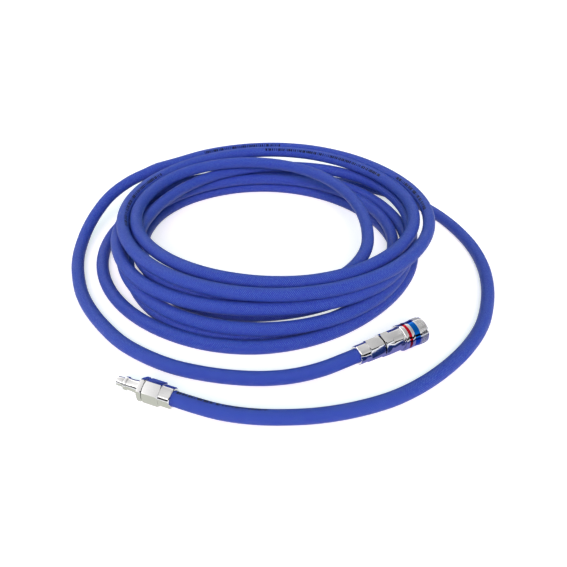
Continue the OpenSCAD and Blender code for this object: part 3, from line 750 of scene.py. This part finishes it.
class AIRHOSE_OT_socket(bpy.types.Operator):
    """Makes the socket's body, its clamp nut and what the body holds"""
    bl_idname = "airhose.make_socket"
    bl_label = "Socket"

    def execute(self, context):
        settings = context.scene.airhose_fittings
        plated = metal_material("socket_plating", settings.plating, SOCKET_TURN, roughness=0.08)
        brass = metal_material("socket_brass", settings.brass, SOCKET_TURN, roughness=0.3)
        steel = metal_material("bearing_steel", settings.steel, SOCKET_TURN, roughness=0.14)
        wire = metal_material("spring_wire", settings.steel, SOCKET_TURN, roughness=0.28)
        rubber = seal_material(settings.nitrile)
        for node, name in (("socket_rear_body", "socket_body_rounded"),
                           ("socket_nut", "socket_nut_rounded"),
                           ("socket_front_body", "socket_front_rounded")):
            dress(rounded_copy(node, name, settings.rounding), ROOT, plated)
        for node in ("socket_clamp_ring", "valve_poppet"):
            paint_node(node, brass)
        for node in ("body_seal", "plug_seal", "valve_seal"):
            paint_node(node, rubber)
        paint_node("sleeve_retaining_ring", wire)
        for node, joint in (("valve_spring", "valve_slide"), ("sleeve_spring", "sleeve_slide")):
            spring_copy(node, node + "_wire", wire)
        for i in range(1, 7):
            paint_node(f"locking_ball_{i}", steel)
        return {'FINISHED'}


class AIRHOSE_OT_sleeve(bpy.types.Operator):
    """Makes the release sleeve with its fine grip ribs and its two colour rings"""
    bl_idname = "airhose.make_sleeve"
    bl_label = "Sleeve"

    def execute(self, context):
        settings = context.scene.airhose_fittings
        plated = metal_material("sleeve_plating", settings.plating, SOCKET_TURN, roughness=0.13)
        sleeve = rounded_copy("release_sleeve", "release_sleeve_rounded", settings.rounding)
        dress(sleeve, "sleeve", plated)
        ribs = link("sleeve_grip_ribs", self.grip(settings))
        dress(ribs, "sleeve", plated)
        for node, colour in (("red_ring", settings.red), ("blue_ring", settings.blue)):
            paint_node(node, anodised_material(node + "_dye", colour, SOCKET_TURN))
        return {'FINISHED'}

    def grip(self, settings):
        """Fine ribs along the sleeve, all round its front."""
        height, count = settings.grip_height, settings.grip_ribs
        radius = SLEEVE_R * MM
        size = ((1 + RIB_ROOT) * height, math.tau * radius / count * RIB_SHARE,
                (GRIP_TO - GRIP_FROM) * MM)
        place = (radius + (1 - RIB_ROOT) / 2 * height, 0, (GRIP_FROM + GRIP_TO) / 2 * MM)
        bm = bmesh.new()
        rib = bmesh.ops.create_cube(bm, size=1)["verts"]
        bmesh.ops.scale(bm, vec=size, verts=rib)
        bmesh.ops.bevel(bm, geom=[e for e in bm.edges if all(v.co.x > 0 for v in e.verts)],
                        offset=RIB_ROUNDING * height, offset_type='OFFSET', affect='EDGES',
                        segments=2, profile=0.5, material=-1)
        bmesh.ops.translate(bm, vec=place, verts=bm.verts)
        bmesh.ops.spin(bm, geom=bm.verts[:] + bm.edges[:] + bm.faces[:], axis=(0, 0, 1),
                       cent=(0, 0, 0), angle=math.tau * (count - 1) / count, steps=count - 1,
                       use_duplicate=True)
        bmesh.ops.transform(bm, matrix=fitting_frame(SOCKET_AT, SOCKET_TURN, SOCKET_ROLL),
                            verts=bm.verts)
        bmesh.ops.recalc_face_normals(bm, faces=bm.faces)
        return mesh_of("sleeve_grip_ribs", bm)


def fitting_frame(at, turn, roll):
    """The matrix from a fitting's own frame, Z along it, to where it lies."""
    return (Matrix.Translation(at * MM) @ Matrix.Rotation(math.radians(turn), 4, 'Z')
            @ Matrix.Rotation(math.radians(90), 4, 'Y')
            @ Matrix.Rotation(math.radians(roll), 4, 'Z'))


class AIRHOSE_OT_stage(bpy.types.Operator):
    """Makes the camera, the soft light, the glowing cards that paint reflections of shade into the
    fittings, and the pale floor
    """
    bl_idname = "airhose.make_stage"
    bl_label = "Stage"

    def execute(self, context):
        settings = context.scene.airhose_stage
        self.camera(settings)
        self.world(settings)
        self.lamp(settings)
        # Painted reflection of the hose and shade in the socket's lower facets
        self.card("socket_painted_reflection", SOCKET_AT, SOCKET_TURN, -CARD_OFF, SOCKET_CARD_LENGTH,
                  settings.socket_painted_reflection)
        # Painted reflection of shaded floor in the plug's lower facets
        self.card("plug_painted_reflection", PLUG_AT, PLUG_TURN, CARD_OFF, PLUG_CARD_LENGTH,
                  settings.plug_painted_reflection)
        self.floor(settings)
        context.scene.view_settings.view_transform = 'Standard'
        return {'FINISHED'}

    def camera(self, settings):
        data = bpy.data.cameras.new("camera")
        data.lens = settings.lens
        data.sensor_width = 36
        data.clip_start, data.clip_end = 0.01, 20
        camera = link("camera", data)
        eye, aim = Vector(settings.eye), Vector(settings.aim)
        camera.location = eye
        camera.rotation_euler = (aim - eye).to_track_quat('-Z', 'Y').to_euler()
        bpy.context.scene.camera = camera

    def world(self, settings):
        """White for the eye, a plain tint for diffuse light, and a dark band for metal."""
        world = bpy.data.worlds.new("studio")
        world.use_nodes = True
        tree = world.node_tree
        tree.nodes.clear()
        spot = add(tree, "ShaderNodeTexCoord")
        way = tree.nodes.new("ShaderNodeSeparateXYZ")
        tree.links.new(spot.outputs["Generated"], way.inputs[0])
        levels = add(tree, "ShaderNodeValToRGB")
        stops = levels.color_ramp.elements
        stops.remove(stops[0])
        band = [(place, settings.dark_band) for place in DARK_BAND]
        for place, level in (LOW_LIGHT, *band, *HIGH_LIGHT):
            stops.new(place).color = (level, level, level, 1)
        stops.remove(stops[-1])
        height = math_node(tree, 'MULTIPLY_ADD', way.outputs["Z"], 0.5, 0.5)
        tree.links.new(height, levels.inputs[0])
        sideways = math_node(tree, 'MULTIPLY_ADD', way.outputs["X"], SIDE_SLOPE, SIDE_MIDDLE)
        mirrored_light = add(tree, "ShaderNodeVectorMath", operation='SCALE')
        tree.links.new(levels.outputs["Color"], mirrored_light.inputs[0])
        tree.links.new(sideways, mirrored_light.inputs["Scale"])
        rays = tree.nodes.new("ShaderNodeLightPath")
        mirrored = math_node(tree, 'MAXIMUM', rays.outputs["Is Glossy Ray"],
                             rays.outputs["Is Transmission Ray"])
        tint = tuple(settings.ambient * c for c in settings.ambient_tint)
        lit = mix_colour(tree, mirrored, rgba(tint), mirrored_light.outputs[0])
        seen = mix_colour(tree, rays.outputs["Is Camera Ray"], lit, rgba((1, 1, 1)))
        light = tree.nodes.new("ShaderNodeBackground")
        tree.links.new(seen, light.inputs["Color"])
        out = tree.nodes.new("ShaderNodeOutputWorld")
        tree.links.new(light.outputs[0], out.inputs["Surface"])
        bpy.context.scene.world = world

    def lamp(self, settings):
        data = bpy.data.lights.new("front_lamp", 'SUN')
        data.energy = settings.lamp
        data.angle = settings.lamp_angle
        data.color = settings.lamp_tint
        lamp = link("front_lamp", data)
        lamp.rotation_euler = Vector(settings.lamp_way).to_track_quat('-Z', 'Y').to_euler()
        lamp.visible_glossy = False

    def card(self, name, at, turn, off, length, tint):
        """A painted reflection: a glowing card on the floor beside a fitting, which only mirrors
        see.
        """
        bm = bmesh.new()
        bmesh.ops.create_grid(bm, x_segments=1, y_segments=1, size=0.5)
        bmesh.ops.scale(bm, vec=(length, CARD_WIDTH, 1), verts=bm.verts)
        bmesh.ops.translate(bm, vec=(length / 2 - CARD_BACK, off, 0), verts=bm.verts)
        lie = Matrix.Translation((at.x * MM, at.y * MM, 0))
        bmesh.ops.transform(bm, matrix=lie @ Matrix.Rotation(math.radians(turn), 4, 'Z'),
                            verts=bm.verts)
        card = link(name, mesh_of(name, bm))
        # The painted reflection: a glow in the card's tint, which no lamp gives
        card.data.materials.append(new_material(name, {
            "Base Color": rgba((0, 0, 0)), "Specular IOR Level": 0,
            "Emission Color": rgba(tint), "Emission Strength": 1})[0])
        card.visible_camera = card.visible_diffuse = card.visible_shadow = False
        card.visible_transmission = card.visible_volume_scatter = False

    def floor(self, settings):
        bm = bmesh.new()
        bmesh.ops.create_grid(bm, x_segments=2, y_segments=2, size=FLOOR_SIZE)
        bmesh.ops.translate(bm, vec=(0, 0, -FLOOR_DROP), verts=bm.verts)
        floor = link("floor", mesh_of("floor", bm))
        made, tree, shader = new_material("floor", {
            "Base Color": rgba((settings.floor,) * 3), "Roughness": 0.9,
            "Specular IOR Level": 0, "Emission Color": rgba((1, 1, 1))})
        rays = tree.nodes.new("ShaderNodeLightPath")
        mirrored = math_node(tree, 'MAXIMUM', rays.outputs["Is Glossy Ray"],
                             rays.outputs["Is Transmission Ray"])
        seen = math_node(tree, 'MAXIMUM', rays.outputs["Is Camera Ray"], mirrored)
        tree.links.new(math_node(tree, 'MULTIPLY', seen, settings.backdrop),
                       shader.inputs["Emission Strength"])
        floor.data.materials.append(made)


class AIRHOSE_PT_panel(bpy.types.Panel):
    """Lists the pieces of the air hose and what can be set"""
    bl_idname = "AIRHOSE_PT_panel"
    bl_label = "Air Hose"
    bl_space_type = 'VIEW_3D'
    bl_region_type = 'UI'
    bl_category = "Air Hose"

    def draw(self, context):
        scene = context.scene
        for label, settings, makers in (
                ("Hose", scene.airhose_hose, (AIRHOSE_OT_hose,)),
                ("Fittings", scene.airhose_fittings,
                 (AIRHOSE_OT_plug, AIRHOSE_OT_socket, AIRHOSE_OT_sleeve)),
                ("Stage", scene.airhose_stage, (AIRHOSE_OT_stage,))):
            box = self.layout.box()
            box.label(text=label)
            for name in type(settings).__annotations__:
                box.prop(settings, name)
            for maker in makers:
                box.operator(maker.bl_idname)


CLASSES = (HoseSettings, FittingSettings, StageSettings, AIRHOSE_OT_stage, AIRHOSE_OT_plug,
           AIRHOSE_OT_socket, AIRHOSE_OT_sleeve, AIRHOSE_OT_hose, AIRHOSE_PT_panel)


def register():
    for cls in CLASSES:
        bpy.utils.register_class(cls)
    bpy.types.Scene.airhose_hose = PointerProperty(type=HoseSettings)
    bpy.types.Scene.airhose_fittings = PointerProperty(type=FittingSettings)
    bpy.types.Scene.airhose_stage = PointerProperty(type=StageSettings)


def unregister():
    del bpy.types.Scene.airhose_stage
    del bpy.types.Scene.airhose_fittings
    del bpy.types.Scene.airhose_hose
    for cls in reversed(CLASSES):
        bpy.utils.unregister_class(cls)


def main():
    register()
    bpy.ops.airhose.make_stage()
    bpy.ops.airhose.make_plug()
    bpy.ops.airhose.make_socket()
    bpy.ops.airhose.make_sleeve()
    bpy.ops.airhose.make_hose()


if __name__ == "__main__":
    main()
